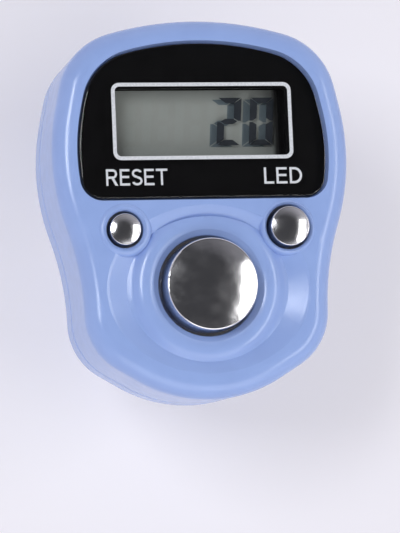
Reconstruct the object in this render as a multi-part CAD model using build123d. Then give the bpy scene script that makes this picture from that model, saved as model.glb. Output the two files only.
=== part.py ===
from build123d import *
import math
import os

os.makedirs("parts", exist_ok=True)

# All sizes are in millimetres. X runs across the counter, Y towards its display end, Z out of its face.

# Case outline: half of it, from the crown to the chin, each corner with its own rounding
crown_y = 20.25
crown_radius = 32.5
shoulder_x = 13.2
shoulder_y = 16.7
shoulder_corner_radius = 7.2
hip_x = 15.9
hip_y = 4.4
hip_radius = 22.5
waist_x = 12.47
waist_y = -6.2
waist_radius = 33.7
foot_x = 12.4
foot_y = -14.0
foot_radius = 7.7
chin_y = -21.5
chin_radius = 14.2

# Case walls
wall = 1.4
floor_thickness = 1.4
ceiling_depth = 2.3
front_edge_radius = 1.9
back_edge_radius = 1.8
parting_depth = 9.5
parting_groove = 0.15
lip_height = 0.8
lip_gap = 0.1

# Display panel
panel_inset = 2.4
panel_shoulder_radius = 6.2
panel_bottom_y = 0.9
panel_corner_radius = 2.2
panel_gap = 0.12
recess_depth = 1.3
mask_thickness = 0.2
lens_thickness = 1.0
lens_edge_radius = 0.35
window_width = 17.6
window_height = 6.9
window_y = 8.7
window_corner_radius = 0.5
deck_margin = 0.4

# Dish, ring ridge and collars of the lower face
dish_y = -8.15
dish_half_width = 8.95
dish_half_height = 7.25
dish_depth = 1.05
dish_slope_run = 2.8
dish_foot_radius = 1.5
dish_edge_radius = 2.5
lead_in_run = 3.0
lead_in_rise = 0.5
relief_root_depth = 1.6
hole_edge_depth = 0.45
ridge_offset = 1.45
ridge_height = 0.3
ridge_radius = 1.6
knee_offset = 1.25
knee_depth = 0.62
knee_radius = 1.2
collar_height = 0.2
collar_edge_radius = 0.6
collar_flare = 0.35
hole_flare = 0.3

# Buttons: count, reset and light
count_y = -7.8
count_cap_radius = 4.72
count_cap_draft = 0.12
count_hole_gap = 0.33
count_rim_height = 1.55
count_dome_height = 0.6
count_rim_radius = 0.2
count_travel = 0.5
count_cap_wall = 1.0
count_crown_thickness = 1.3
count_post_radius = 1.5
side_button_x = 8.33
side_button_y = -2.1
reset_cap_radius = 1.62
reset_rim_height = 0.3
reset_dome_height = 0.3
light_cap_radius = 2.03
light_rim_height = 0.8
light_dome_height = 0.35
side_cap_draft = 0.05
side_hole_gap = 0.23
side_rim_radius = 0.12
side_travel = 0.4
reset_collar_width = 0.76
light_collar_width = 0.5
side_post_radius = 0.9
flange_width = 0.7
flange_thickness = 0.7
flange_gap = 0.05
flange_flat_gap = 0.25

# Circuit board and the room in front of it
board_depth = 6.6
board_thickness = 1.0
board_gap = 0.3
board_top_y = 13.1
board_bottom_y = -13.1

# Tactile switches
count_switch_width = 6.0
side_switch_width = 4.5
switch_base_height = 2.4
switch_cover_thickness = 0.2
switch_cover_leg = 1.2
plunger_floor_gap = 0.2
count_plunger_radius = 1.75
side_plunger_radius = 1.1
plunger_rise = 0.8
plunger_flange = 0.35
plunger_flange_thickness = 0.4
plunger_gap = 0.2
lead_width = 0.7
lead_length = 0.9
lead_thickness = 0.2

# Display stack
glass_width = 19.0
glass_top_y = 12.75
front_glass_bottom_y = 3.5
rear_glass_bottom_y = 5.0
glass_thickness = 0.7
polariser_thickness = 0.2
polariser_margin = 0.4
reflector_thickness = 0.2
guide_thickness = 1.0
guide_margin = 0.8
holder_wall = 0.55
holder_gap = 0.1
holder_floor = 0.7
zebra_width = 1.2
zebra_margin = 1.0
lamp_x = 4.3
lamp_width = 1.6
lamp_depth = 1.2
lamp_height = 0.7
lamp_window_margin = 0.5

# Cells and their contacts
cell_radius = 5.8
cell_height = 3.05
cell_cap_radius = 4.7
cell_cap_height = 0.35
cell_x = 6.3
cell_y = 3.5
cell_gap = 0.15
cell_holder_wall = 0.7
cell_holder_height = 1.9
contact_space = 0.6
contact_thickness = 0.2
contact_width = 3.0
contact_length = 6.0
bridge_thickness = 0.3
bridge_width = 4.0
bridge_overrun = 1.0
bridge_seat_height = 1.05
bridge_seat_width = 2.0

# Small parts on the back of the board
blob_radius = 3.0
blob_height = 1.2
blob_y = -7.2
chip_length = 1.6
chip_width = 0.8
chip_height = 0.5
chip_pitch = 2.2
chip_row_x = 4.6
chip_row_y = -5.2

# Screws
case_screw_y = 15.2
case_screw_radius = 0.75
case_screw_head_radius = 1.5
case_screw_head_height = 0.9
case_screw_length = 5.5
case_boss_radius = 1.7
case_boss_overrun = 0.9
boss_gap = 0.05
screw_seat_thickness = 1.2
screw_well_gap = 0.2
thread_gap = 0.05
board_screw_x = 8.6
board_screw_y = -9.0
board_screw_radius = 0.5
board_screw_head_radius = 1.1
board_screw_head_height = 0.6
board_screw_length = 3.6
board_post_radius = 1.5
pilot_extra_depth = 0.4

# Finger strap
strap_width = 8.0
strap_thickness = 1.1
finger_half_width = 8.5
finger_height = 12.5
strap_bend_radius = 5.0
strap_layer_gap = 0.1
strap_slot_gap = 0.15
strap_head_overhang = 0.55
strap_head_thickness = 0.95
strap_tail_clearance = 2.2
strap_tail_flat = 0.6
stud_leg_end_gap = 0.1
stud_drop = 5.6
stud_radius = 0.75
stud_head_radius = 1.3
stud_head_thickness = 0.6
stud_head_gap = 0.1
strap_hole_radius = 0.95
strap_hole_pitch = 3.3
strap_hole_count = 5

# Levels, from the strap's flat underside at zero up to the face
back_z = strap_thickness + finger_height
floor_z = back_z + floor_thickness
bridge_z = floor_z + bridge_seat_height
cell_z = bridge_z + bridge_thickness
cell_top_z = cell_z + cell_height
board_back_z = cell_top_z + contact_space
board_top_z = board_back_z + board_thickness
face_z = board_top_z + board_depth
ceiling_z = face_z - ceiling_depth
parting_z = face_z - parting_depth
deck_z = face_z - recess_depth

# Sizes that follow from the ones above
count_hole_radius = count_cap_radius + count_hole_gap
reset_hole_radius = reset_cap_radius + side_hole_gap
light_hole_radius = light_cap_radius + side_hole_gap
reset_collar_radius = reset_hole_radius + reset_collar_width
light_collar_radius = light_hole_radius + light_collar_width
plunger_top_z = board_top_z + switch_base_height + switch_cover_thickness + plunger_rise
polariser_width = glass_width - 2 * polariser_margin
guide_width = glass_width - 2 * guide_margin
zebra_length = glass_width - 2 * zebra_margin
polariser_z = ceiling_z - polariser_thickness
front_glass_z = polariser_z - glass_thickness
rear_glass_z = front_glass_z - glass_thickness
reflector_z = rear_glass_z - reflector_thickness
guide_z = reflector_z - guide_thickness
holder_floor_z = guide_z - holder_floor
leg_x = finger_half_width + strap_thickness / 2
outer_leg_x = finger_half_width + strap_thickness + strap_layer_gap
strap_tail_radius = strap_width / 2 - strap_tail_flat
boss_end_z = parting_z - case_boss_overrun
case_screw_places = [(0, case_screw_y), (0, -case_screw_y)]
board_screw_places = [(-board_screw_x, board_screw_y), (board_screw_x, board_screw_y)]


def rounded_outline(corners):
    """Closed face through (x, y, radius) corners; a rounding is limited by the sides it lies between."""
    count = len(corners)
    points = [Vector(x, y) for x, y, _ in corners]
    halves = []
    reaches = []
    for i in range(count):
        to_last = points[i - 1] - points[i]
        to_next = points[(i + 1) % count] - points[i]
        half = math.radians(to_last.get_angle(to_next)) / 2
        halves.append(half)
        reaches.append(corners[i][2] / math.tan(half))
    for i in range(count):
        after = (i + 1) % count
        side = (points[after] - points[i]).length
        total = reaches[i] + reaches[after]
        if total > side:
            reaches[i] *= 0.999 * side / total
            reaches[after] *= 0.999 * side / total
    edges = []
    starts = []
    ends = []
    for i in range(count):
        to_last = (points[i - 1] - points[i]).normalized()
        to_next = (points[(i + 1) % count] - points[i]).normalized()
        starts.append(points[i] + to_last * reaches[i])
        ends.append(points[i] + to_next * reaches[i])
        if reaches[i] > 0:
            radius = reaches[i] * math.tan(halves[i])
            inward = (to_last + to_next).normalized()
            middle = points[i] + inward * (radius / math.sin(halves[i]) - radius)
            edges.append(ThreePointArc(starts[i], middle, ends[i]))
    for i in range(count):
        after = (i + 1) % count
        if (starts[after] - ends[i]).length > 1e-6:
            edges.append(Line(ends[i], starts[after]))
    return make_face(edges)


def turned(corners):
    """Solid of revolution about Z from (radius, height, rounding) corners."""
    return revolve(Plane.XZ * rounded_outline(corners), Axis.Z)


def slab(outline, bottom, top):
    """Plate with a flat outline between two heights."""
    return Pos(0, 0, bottom) * extrude(outline, top - bottom)


def block(x_span, y_span, z_span):
    """Box between pairs of limits."""
    size = [span[1] - span[0] for span in (x_span, y_span, z_span)]
    middle = [(span[0] + span[1]) / 2 for span in (x_span, y_span, z_span)]
    return Pos(*middle) * Box(*size)


def rod(x, y, radius, bottom, top):
    """Upright cylinder between two heights."""
    return Pos(x, y, (bottom + top) / 2) * Cylinder(radius, top - bottom)


def case_corners():
    """Corners of the case outline with their roundings, clockwise from the crown."""
    right = [
        (shoulder_x, shoulder_y, shoulder_corner_radius),
        (hip_x, hip_y, hip_radius),
        (waist_x, waist_y, waist_radius),
        (foot_x, foot_y, foot_radius),
    ]
    left = [(-x, y, radius) for x, y, radius in reversed(right)]
    return [(0, crown_y, crown_radius), *right, (0, chin_y, chin_radius), *left]


def case_outline():
    """Outline of the case seen from the front."""
    return rounded_outline(case_corners())


def inset_corners(corners, distance):
    """Corners of a clockwise outline whose sides move inwards by a distance, roundings included."""
    moved = []
    for i in range(len(corners)):
        x, y, radius = corners[i]
        after = corners[(i + 1) % len(corners)]
        to_last = (Vector(*corners[i - 1][:2]) - Vector(x, y)).normalized()
        to_next = (Vector(*after[:2]) - Vector(x, y)).normalized()
        half = math.radians(to_last.get_angle(to_next)) / 2
        turn = math.copysign(1, to_last.cross(to_next).Z)
        place = Vector(x, y) + (to_last + to_next).normalized() * (turn * distance / math.sin(half))
        moved.append((place.X, place.Y, radius - turn * distance))
    return moved


def panel_outline(gap):
    """Outline of the display panel, grown by a gap for its recess."""
    corners = inset_corners(case_corners(), panel_inset)
    for i in (1, -1):
        corners[i] = (*corners[i][:2], panel_shoulder_radius)
    reach = 2 * hip_x
    upper = Pos(0, panel_bottom_y + reach / 2) * Rectangle(2 * reach, reach)
    panel = rounded_outline(corners) & upper
    low_corners = panel.vertices().group_by(Axis.Y)[0]
    panel = fillet(low_corners, panel_corner_radius)
    return offset(panel, gap) if gap else panel


def window_outline(margin):
    """Display window in the panel mask, grown by a margin for the deck under it."""
    size = (window_width + 2 * margin, window_height + 2 * margin)
    return Pos(0, window_y) * RectangleRounded(*size, window_corner_radius)


def case_shell():
    """Front case blank: rounded front edge, hollow back and a lip for the rear cover."""
    outline = case_outline()
    blank = slab(outline, parting_z, face_z)
    blank = fillet(blank.faces().sort_by(Axis.Z)[-1].edges(), front_edge_radius)
    blank = chamfer(blank.faces().sort_by(Axis.Z)[0].edges(), parting_groove)
    inside = offset(outline, -wall)
    blank -= slab(inside, parting_z, ceiling_z)
    lip = offset(outline, -(wall + lip_gap) / 2) - inside
    return blank + slab(lip, parting_z - lip_height, parting_z)


def dish_cutter():
    """Soft-edged oval dish: a turned cutter drawn out sideways to an oval."""
    foot = dish_half_width - dish_slope_run / 2
    edge = dish_half_width + dish_slope_run / 2
    cutter = turned([
        (0, -dish_depth, 0),
        (foot, -dish_depth, dish_foot_radius),
        (edge, 0, dish_edge_radius),
        (edge + lead_in_run, lead_in_rise, 0),
        (0, lead_in_rise, 0),
    ])
    cutter = scale(cutter, by=(1, dish_half_height / dish_half_width, 1))
    return Pos(0, dish_y, face_z) * cutter


def ring_ridge():
    """Mound round the count button: funnel, rounded ridge and a long outer slope, kept inside the dish."""
    ridge_x = count_hole_radius + ridge_offset
    knee_x = ridge_x + knee_offset
    mound = turned([
        (0, -relief_root_depth, 0),
        (0, -hole_edge_depth, 0),
        (count_hole_radius, -hole_edge_depth, 0),
        (ridge_x, ridge_height, ridge_radius),
        (knee_x, -knee_depth, knee_radius),
        (dish_half_width, -dish_depth, 0),
        (dish_half_width, -relief_root_depth, 0),
    ])
    mound = Pos(0, count_y, face_z) * mound
    oval = Pos(0, dish_y) * Ellipse(dish_half_width, dish_half_height)
    return mound & slab(oval, face_z - 2 * relief_root_depth, face_z + relief_root_depth)


def collar(x, radius):
    """Raised collar round a side button."""
    profile = turned([
        (0, -relief_root_depth, 0),
        (0, collar_height, 0),
        (radius, collar_height, collar_edge_radius),
        (radius + collar_flare, -relief_root_depth, 0),
    ])
    return Pos(x, side_button_y, face_z) * profile


def button_hole(x, y, radius, edge_z):
    """Through hole for a button, with a rounded upper edge."""
    top = edge_z + hole_flare
    cutter = turned([
        (0, ceiling_z - hole_flare, 0),
        (radius, ceiling_z - hole_flare, 0),
        (radius, edge_z - hole_flare, hole_flare),
        (radius + 2 * hole_flare, top, 0),
        (0, top, 0),
    ])
    return Pos(x, y, 0) * cutter


def front_case():
    """Front shell with its sculpted face, bosses and openings."""
    case = case_shell()
    case -= dish_cutter()
    case += ring_ridge()
    case += collar(-side_button_x, reset_collar_radius)
    case += collar(side_button_x, light_collar_radius)
    collar_top_z = face_z + collar_height
    case -= button_hole(0, count_y, count_hole_radius, face_z - hole_edge_depth)
    case -= button_hole(-side_button_x, side_button_y, reset_hole_radius, collar_top_z)
    case -= button_hole(side_button_x, side_button_y, light_hole_radius, collar_top_z)
    case -= slab(panel_outline(panel_gap), deck_z, face_z + collar_height + panel_gap)
    case -= slab(window_outline(deck_margin), ceiling_z, deck_z)
    for x, y in case_screw_places:
        case += rod(x, y, case_boss_radius, boss_end_z, ceiling_z)
        pilot_top = boss_end_z + case_screw_length
        case -= rod(x, y, case_screw_radius + thread_gap, boss_end_z, pilot_top)
    for x, y in board_screw_places:
        case += rod(x, y, board_post_radius, board_top_z, ceiling_z)
        pilot_top = board_back_z + board_screw_length + pilot_extra_depth
        case -= rod(x, y, board_screw_radius + thread_gap, board_top_z, pilot_top)
    return case


def rear_cover():
    """Rear shell with screw wells, strap slots and the seats of the cell bridge."""
    outline = case_outline()
    cover = slab(outline, back_z, parting_z)
    cover = fillet(cover.faces().sort_by(Axis.Z)[0].edges(), back_edge_radius)
    cover = chamfer(cover.faces().sort_by(Axis.Z)[-1].edges(), parting_groove)
    cover -= slab(offset(outline, -wall), floor_z, parting_z)
    rebate = offset(outline, -(wall - lip_gap) / 2)
    cover -= slab(rebate, parting_z - lip_height - lip_gap, parting_z)
    post_top = boss_end_z - boss_gap
    seat_z = post_top - screw_seat_thickness
    well_radius = case_screw_head_radius + screw_well_gap
    for x, y in case_screw_places:
        post = rod(x, y, well_radius + wall / 2, floor_z, post_top)
        cover += post & slab(offset(outline, -wall), floor_z, post_top)
        cover -= rod(x, y, well_radius, back_z, seat_z)
        cover -= rod(x, y, case_screw_radius + thread_gap, seat_z, post_top)
    for side in (-1, 1):
        seat_x = side * cell_x
        half_seat = bridge_seat_width / 2
        half_width = bridge_width / 2
        x_span = (seat_x - half_seat, seat_x + half_seat)
        cover += block(x_span, (cell_y - half_width, cell_y + half_width), (floor_z, bridge_z))
        slot_half = strap_thickness / 2 + strap_slot_gap
        slot_x = (side * leg_x - slot_half, side * leg_x + slot_half)
        half_slot = strap_width / 2 + strap_slot_gap
        cover -= block(slot_x, (-half_slot, half_slot), (back_z, floor_z))
    return cover


def display_lens():
    """Clear front sheet of the panel with a rounded front edge."""
    bottom = deck_z + mask_thickness
    lens = slab(panel_outline(0), bottom, bottom + lens_thickness)
    return fillet(lens.faces().sort_by(Axis.Z)[-1].edges(), lens_edge_radius)


def panel_mask():
    """Dark mask sheet behind the lens, with the display window cut out."""
    return slab(panel_outline(0) - window_outline(0), deck_z, deck_z + mask_thickness)


def dome_arc(radius, rim, height):
    """Shallow arc from the axis down to the rim of a button."""
    sphere = (radius**2 + height**2) / (2 * height)
    half = radius / 2
    drop = sphere - math.sqrt(sphere**2 - half**2)
    return ThreePointArc((0, rim + height), (half, rim + height - drop), (radius, rim))


def button_cap(radius, draft, hole_radius, rim_height, dome_height, rim_radius, lower_corners):
    """Turned button: domed top, rounded rim, drafted side and a flange that stops under the case."""
    rim = face_z + rim_height
    top_radius = radius - draft
    flange_top = ceiling_z - flange_gap
    flange_radius = hole_radius + flange_width
    corners = [
        (top_radius, rim - rim_radius),
        (radius, face_z - hole_edge_depth),
        (radius, flange_top),
        (flange_radius, flange_top),
        (flange_radius, flange_top - flange_thickness),
        *lower_corners(flange_top - flange_thickness),
        (0, plunger_top_z),
        (0, rim + dome_height),
    ]
    drop = rim_radius * (1 - math.sqrt(0.5))
    round_edge = ThreePointArc((top_radius - rim_radius, rim), (top_radius - drop, rim - drop), corners[0])
    edges = [dome_arc(top_radius - rim_radius, rim, dome_height), round_edge]
    edges += [Line(start, end) for start, end in zip(corners, corners[1:])]
    return revolve(Plane.XZ * make_face(edges), Axis.Z)


def count_button():
    """Large hollow cap; a flat on its flange clears the lower screw boss and keeps it from turning."""
    inner_radius = count_cap_radius - count_cap_wall
    inner_top = face_z + count_rim_height - count_crown_thickness

    def hollow(flange_bottom):
        return [
            (inner_radius, flange_bottom),
            (inner_radius, inner_top),
            (count_post_radius, inner_top),
            (count_post_radius, plunger_top_z),
        ]

    sides = (count_cap_radius, count_cap_draft, count_hole_radius)
    top = (count_rim_height, count_dome_height, count_rim_radius)
    cap = Pos(0, count_y) * button_cap(*sides, *top, hollow)
    flat_y = -case_screw_y + case_boss_radius + flange_flat_gap
    reach = 2 * (count_hole_radius + flange_width)
    cap -= block((-reach, reach), (flat_y - reach, flat_y), (plunger_top_z, ceiling_z))
    return cap


def side_button(x, cap_radius, hole_radius, rim_height, dome_height):
    """Small solid button with a stem down to its switch."""

    def stem(flange_bottom):
        return [(side_post_radius, flange_bottom), (side_post_radius, plunger_top_z)]

    cap = button_cap(cap_radius, side_cap_draft, hole_radius, rim_height, dome_height, side_rim_radius, stem)
    return Pos(x, side_button_y) * cap


def switch_base(x, y, width, plunger_radius, travel):
    """Moulded base of a tactile switch with the well of its plunger."""
    half = width / 2
    top = board_top_z + switch_base_height
    base = block((x - half, x + half), (y - half, y + half), (board_top_z, top))
    well_radius = plunger_radius + plunger_flange + plunger_gap
    well_depth = flange_gap + plunger_flange_thickness + travel + plunger_floor_gap
    return base - rod(x, y, well_radius, top - well_depth, top)


def switch_cover(x, y, width, plunger_radius):
    """Sheet cover of a tactile switch with a hole for the plunger and two folded sides."""
    half = width / 2
    bottom = board_top_z + switch_base_height
    top = bottom + switch_cover_thickness
    outer = half + switch_cover_thickness
    cover = block((x - outer, x + outer), (y - half, y + half), (bottom, top))
    for side in (-1, 1):
        fold = sorted((x + side * half, x + side * outer))
        cover += block(fold, (y - half, y + half), (bottom - switch_cover_leg, bottom))
    return cover - rod(x, y, plunger_radius + plunger_gap, bottom, top)


def switch_plunger(x, y, radius):
    """Plunger of a tactile switch, held under the cover by its flange."""
    flange_top = board_top_z + switch_base_height - flange_gap
    plunger = rod(x, y, radius, flange_top, plunger_top_z)
    return plunger + rod(x, y, radius + plunger_flange, flange_top - plunger_flange_thickness, flange_top)


def switch_leads():
    """Four flat leads beside each switch base."""
    leads = []
    switches = [
        (0, count_y, count_switch_width),
        (-side_button_x, side_button_y, side_switch_width),
        (side_button_x, side_button_y, side_switch_width),
    ]
    for x, y, width in switches:
        for across in (-1, 1):
            for along in (-1, 1):
                middle = x + across * width / 4
                edge = y + along * width / 2
                x_span = (middle - lead_width / 2, middle + lead_width / 2)
                y_span = sorted((edge, edge + along * lead_length))
                leads.append(block(x_span, y_span, (board_top_z, board_top_z + lead_thickness)))
    return Compound(leads)


def display_plate(width, low_y, bottom, thickness):
    """Flat sheet of the display stack."""
    return block((-width / 2, width / 2), (low_y, glass_top_y), (bottom, bottom + thickness))


def display_holder():
    """Open frame round the display stack, standing on the board, with lamp windows and a strip slot."""
    inner_x = glass_width / 2 + holder_gap
    inner_low = front_glass_bottom_y - holder_gap
    inner_top = glass_top_y + holder_gap
    outer_x = inner_x + holder_wall
    y_span = (inner_low - holder_wall, inner_top + holder_wall)
    holder = block((-outer_x, outer_x), y_span, (board_top_z, ceiling_z - holder_gap))
    holder -= block((-inner_x, inner_x), (inner_low, inner_top), (guide_z, ceiling_z))
    holder -= block((-inner_x, inner_x), (inner_low, inner_top), (board_top_z, holder_floor_z))
    slot_x = zebra_length / 2 + holder_gap
    slot_top = rear_glass_bottom_y - holder_gap
    holder -= block((-slot_x, slot_x), (inner_low, slot_top), (holder_floor_z, guide_z))
    for side in (-1, 1):
        half_x = lamp_width / 2 + lamp_window_margin
        half_y = lamp_depth / 2 + lamp_window_margin
        x_span = (side * lamp_x - half_x, side * lamp_x + half_x)
        holder -= block(x_span, (window_y - half_y, window_y + half_y), (holder_floor_z, guide_z))
    return holder


def zebra_strip():
    """Conductive rubber strip from the ledge of the front glass to the board."""
    low = front_glass_bottom_y
    half = zebra_length / 2
    return block((-half, half), (low, low + zebra_width), (board_top_z, front_glass_z))


def backlight_lamps():
    """Two chip lamps on the board under the light guide."""
    lamps = []
    for side in (-1, 1):
        x_span = (side * lamp_x - lamp_width / 2, side * lamp_x + lamp_width / 2)
        y_span = (window_y - lamp_depth / 2, window_y + lamp_depth / 2)
        lamps.append(block(x_span, y_span, (board_top_z, board_top_z + lamp_height)))
    return Compound(lamps)


def circuit_board():
    """Board cut to the inside of the case and between the case bosses."""
    inside = offset(case_outline(), -(wall + board_gap))
    middle_y = (board_top_y + board_bottom_y) / 2
    strip = Pos(0, middle_y) * Rectangle(4 * hip_x, board_top_y - board_bottom_y)
    board = slab(inside & strip, board_back_z, board_top_z)
    for x, y in board_screw_places:
        board -= rod(x, y, board_screw_radius + thread_gap, board_back_z, board_top_z)
    return board


def controller_blob():
    """Domed potting over the controller chip."""
    sphere = (blob_radius**2 + blob_height**2) / (2 * blob_height)
    ball = Pos(0, blob_y, board_back_z - blob_height + sphere) * Sphere(sphere)
    disc = rod(0, blob_y, blob_radius, board_back_z - blob_height, board_back_z)
    return ball & disc


def chip_row(x, count):
    """Row of chip parts on the back of the board."""
    chips = []
    for i in range(count):
        y = chip_row_y - i * chip_pitch
        x_span = (x - chip_length / 2, x + chip_length / 2)
        y_span = (y - chip_width / 2, y + chip_width / 2)
        chips.append(block(x_span, y_span, (board_back_z - chip_height, board_back_z)))
    return Compound(chips)


def button_cell(x, cap_up):
    """Button cell with its smaller negative cap at one end."""
    can_height = cell_height - cell_cap_height
    can_z = cell_z if cap_up else cell_z + cell_cap_height
    cap_z = cell_z + can_height if cap_up else cell_z
    can = rod(x, cell_y, cell_radius, can_z, can_z + can_height)
    return can + rod(x, cell_y, cell_cap_radius, cap_z, cap_z + cell_cap_height)


def cell_holder():
    """Ring frame on the back of the board round both cells."""
    ring = cell_radius + cell_gap + cell_holder_wall
    outline = Pos(0, cell_y) * SlotCenterToCenter(2 * cell_x, 2 * ring)
    holder = slab(outline, board_back_z - cell_holder_height, board_back_z)
    for side in (-1, 1):
        x = side * cell_x
        holder -= rod(x, cell_y, cell_radius + cell_gap, board_back_z - cell_holder_height, board_back_z)
    return holder


def cell_contact(x):
    """Bent leaf from the board down to a cell."""
    half = contact_length / 2
    low = cell_top_z
    high = board_back_z
    knee = half / 3
    leaf = Polyline(
        (-half, high),
        (-knee, high),
        (knee, low + contact_thickness),
        (half, low + contact_thickness),
        (half, low),
        (knee - contact_thickness, low),
        (-knee - contact_thickness, high - contact_thickness),
        (-half, high - contact_thickness),
        close=True,
    )
    strip = extrude(Plane.XZ * make_face(leaf), contact_width / 2, both=True)
    return Pos(x, cell_y, 0) * strip


def cell_bridge():
    """Flat plate that joins the rear ends of both cells."""
    half = cell_x + bridge_overrun
    half_width = bridge_width / 2
    return block((-half, half), (cell_y - half_width, cell_y + half_width), (bridge_z, cell_z))


def screw_set(places, radius, length, head_radius, head_height, seat_z):
    """Pan-head screws driven upwards from a seat."""
    screws = []
    for x, y in places:
        shank = rod(x, y, radius, seat_z, seat_z + length)
        screws.append(shank + rod(x, y, head_radius, seat_z - head_height, seat_z))
    return Compound(screws)


def case_screws():
    """Two screws from the rear wells into the front bosses."""
    seat_z = boss_end_z - boss_gap - screw_seat_thickness
    sizes = (case_screw_radius, case_screw_length, case_screw_head_radius, case_screw_head_height)
    return screw_set(case_screw_places, *sizes, seat_z)


def board_screws():
    """Two screws that hold the board on its posts."""
    sizes = (board_screw_radius, board_screw_length, board_screw_head_radius, board_screw_head_height)
    return screw_set(board_screw_places, *sizes, board_back_z)


def strap_head(side):
    """Wide head that keeps a strap half inside the rear cover."""
    half_x = strap_thickness / 2 + strap_head_overhang
    half_y = strap_width / 2 + strap_head_overhang
    x_span = (side * leg_x - half_x, side * leg_x + half_x)
    return block(x_span, (-half_y, half_y), (floor_z, floor_z + strap_head_thickness))


def strap_loop_path():
    """Middle line of the hole half: up the right leg's tail, round the flat bottom and up the left leg."""
    half = strap_thickness / 2
    bend = strap_bend_radius + half
    right = outer_leg_x + half
    tail_z = back_z - strap_tail_clearance
    centre_z = half + bend
    diagonal = bend * math.sqrt(0.5)
    return Wire([
        Line((right, tail_z), (right, centre_z)),
        ThreePointArc(
            (right, centre_z),
            (right - bend + diagonal, centre_z - diagonal),
            (right - bend, half),
        ),
        Line((right - bend, half), (bend - leg_x, half)),
        ThreePointArc(
            (bend - leg_x, half),
            (bend - leg_x - diagonal, centre_z - diagonal),
            (-leg_x, centre_z),
        ),
        Line((-leg_x, centre_z), (-leg_x, floor_z)),
    ])


def strap_hole_half():
    """Long strap half with a row of holes, from the left slot round to the right leg."""
    path = strap_loop_path()
    half = strap_thickness / 2
    left_x = -leg_x - half
    right_x = outer_leg_x + strap_thickness
    top_z = floor_z
    round_outer = strap_bend_radius + strap_thickness
    outer = rounded_outline([
        (left_x, top_z, 0),
        (left_x, 0, round_outer),
        (right_x, 0, round_outer),
        (right_x, top_z, 0),
    ])
    inner = rounded_outline([
        (left_x + strap_thickness, 2 * top_z, 0),
        (left_x + strap_thickness, strap_thickness, strap_bend_radius),
        (right_x - strap_thickness, strap_thickness, strap_bend_radius),
        (right_x - strap_thickness, 2 * top_z, 0),
    ])
    tail_z = back_z - strap_tail_clearance
    strap = extrude(Plane.XZ * (outer - inner), strap_width / 2, both=True)
    strap -= block((0, 2 * right_x), (-strap_width, strap_width), (tail_z, 2 * top_z))
    tail_edges = strap.edges().filter_by(Axis.X).filter_by_position(Axis.Z, tail_z - half, tail_z + half)
    strap = fillet(tail_edges, strap_tail_radius)
    stud_start = tail_z - stud_z()
    for i in range(strap_hole_count):
        distance = stud_start + i * strap_hole_pitch
        spot = path.position_at(distance, position_mode=PositionMode.LENGTH)
        along = path.tangent_at(distance, position_mode=PositionMode.LENGTH)
        place = Plane((spot.X, 0, spot.Y), x_dir=(0, 1, 0), z_dir=(-along.Y, 0, along.X))
        strap -= place * Cylinder(strap_hole_radius, 2 * strap_thickness)
    return strap + strap_head(-1)


def stud_z():
    """Height of the stud on the right leg."""
    return back_z - stud_drop


def strap_stud_half():
    """Short strap half on the right with a mushroom stud through the outer layer."""
    half = strap_thickness / 2
    half_width = strap_width / 2
    end_z = strap_thickness + strap_bend_radius + stud_leg_end_gap
    leg = block((leg_x - half, leg_x + half), (-half_width, half_width), (end_z, floor_z))
    low_edges = leg.edges().filter_by(Axis.X).group_by(Axis.Z)[0]
    leg = fillet(low_edges, strap_tail_radius)
    shaft_length = strap_layer_gap + strap_thickness + stud_head_gap
    stud = Cylinder(stud_radius, shaft_length, align=(Align.CENTER, Align.CENTER, Align.MIN))
    head = Cylinder(stud_head_radius, stud_head_thickness, align=(Align.CENTER, Align.CENTER, Align.MIN))
    stud += Pos(0, 0, shaft_length) * head
    place = Plane((leg_x + half, 0, stud_z()), x_dir=(0, 1, 0), z_dir=(1, 0, 0))
    return leg + place * stud + strap_head(1)


reset_x = -side_button_x
light_x = side_button_x
side_switch = (side_switch_width, side_plunger_radius)
count_switch = (count_switch_width, count_plunger_radius)
reset_sizes = (reset_cap_radius, reset_hole_radius, reset_rim_height, reset_dome_height)
light_sizes = (light_cap_radius, light_hole_radius, light_rim_height, light_dome_height)

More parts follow.
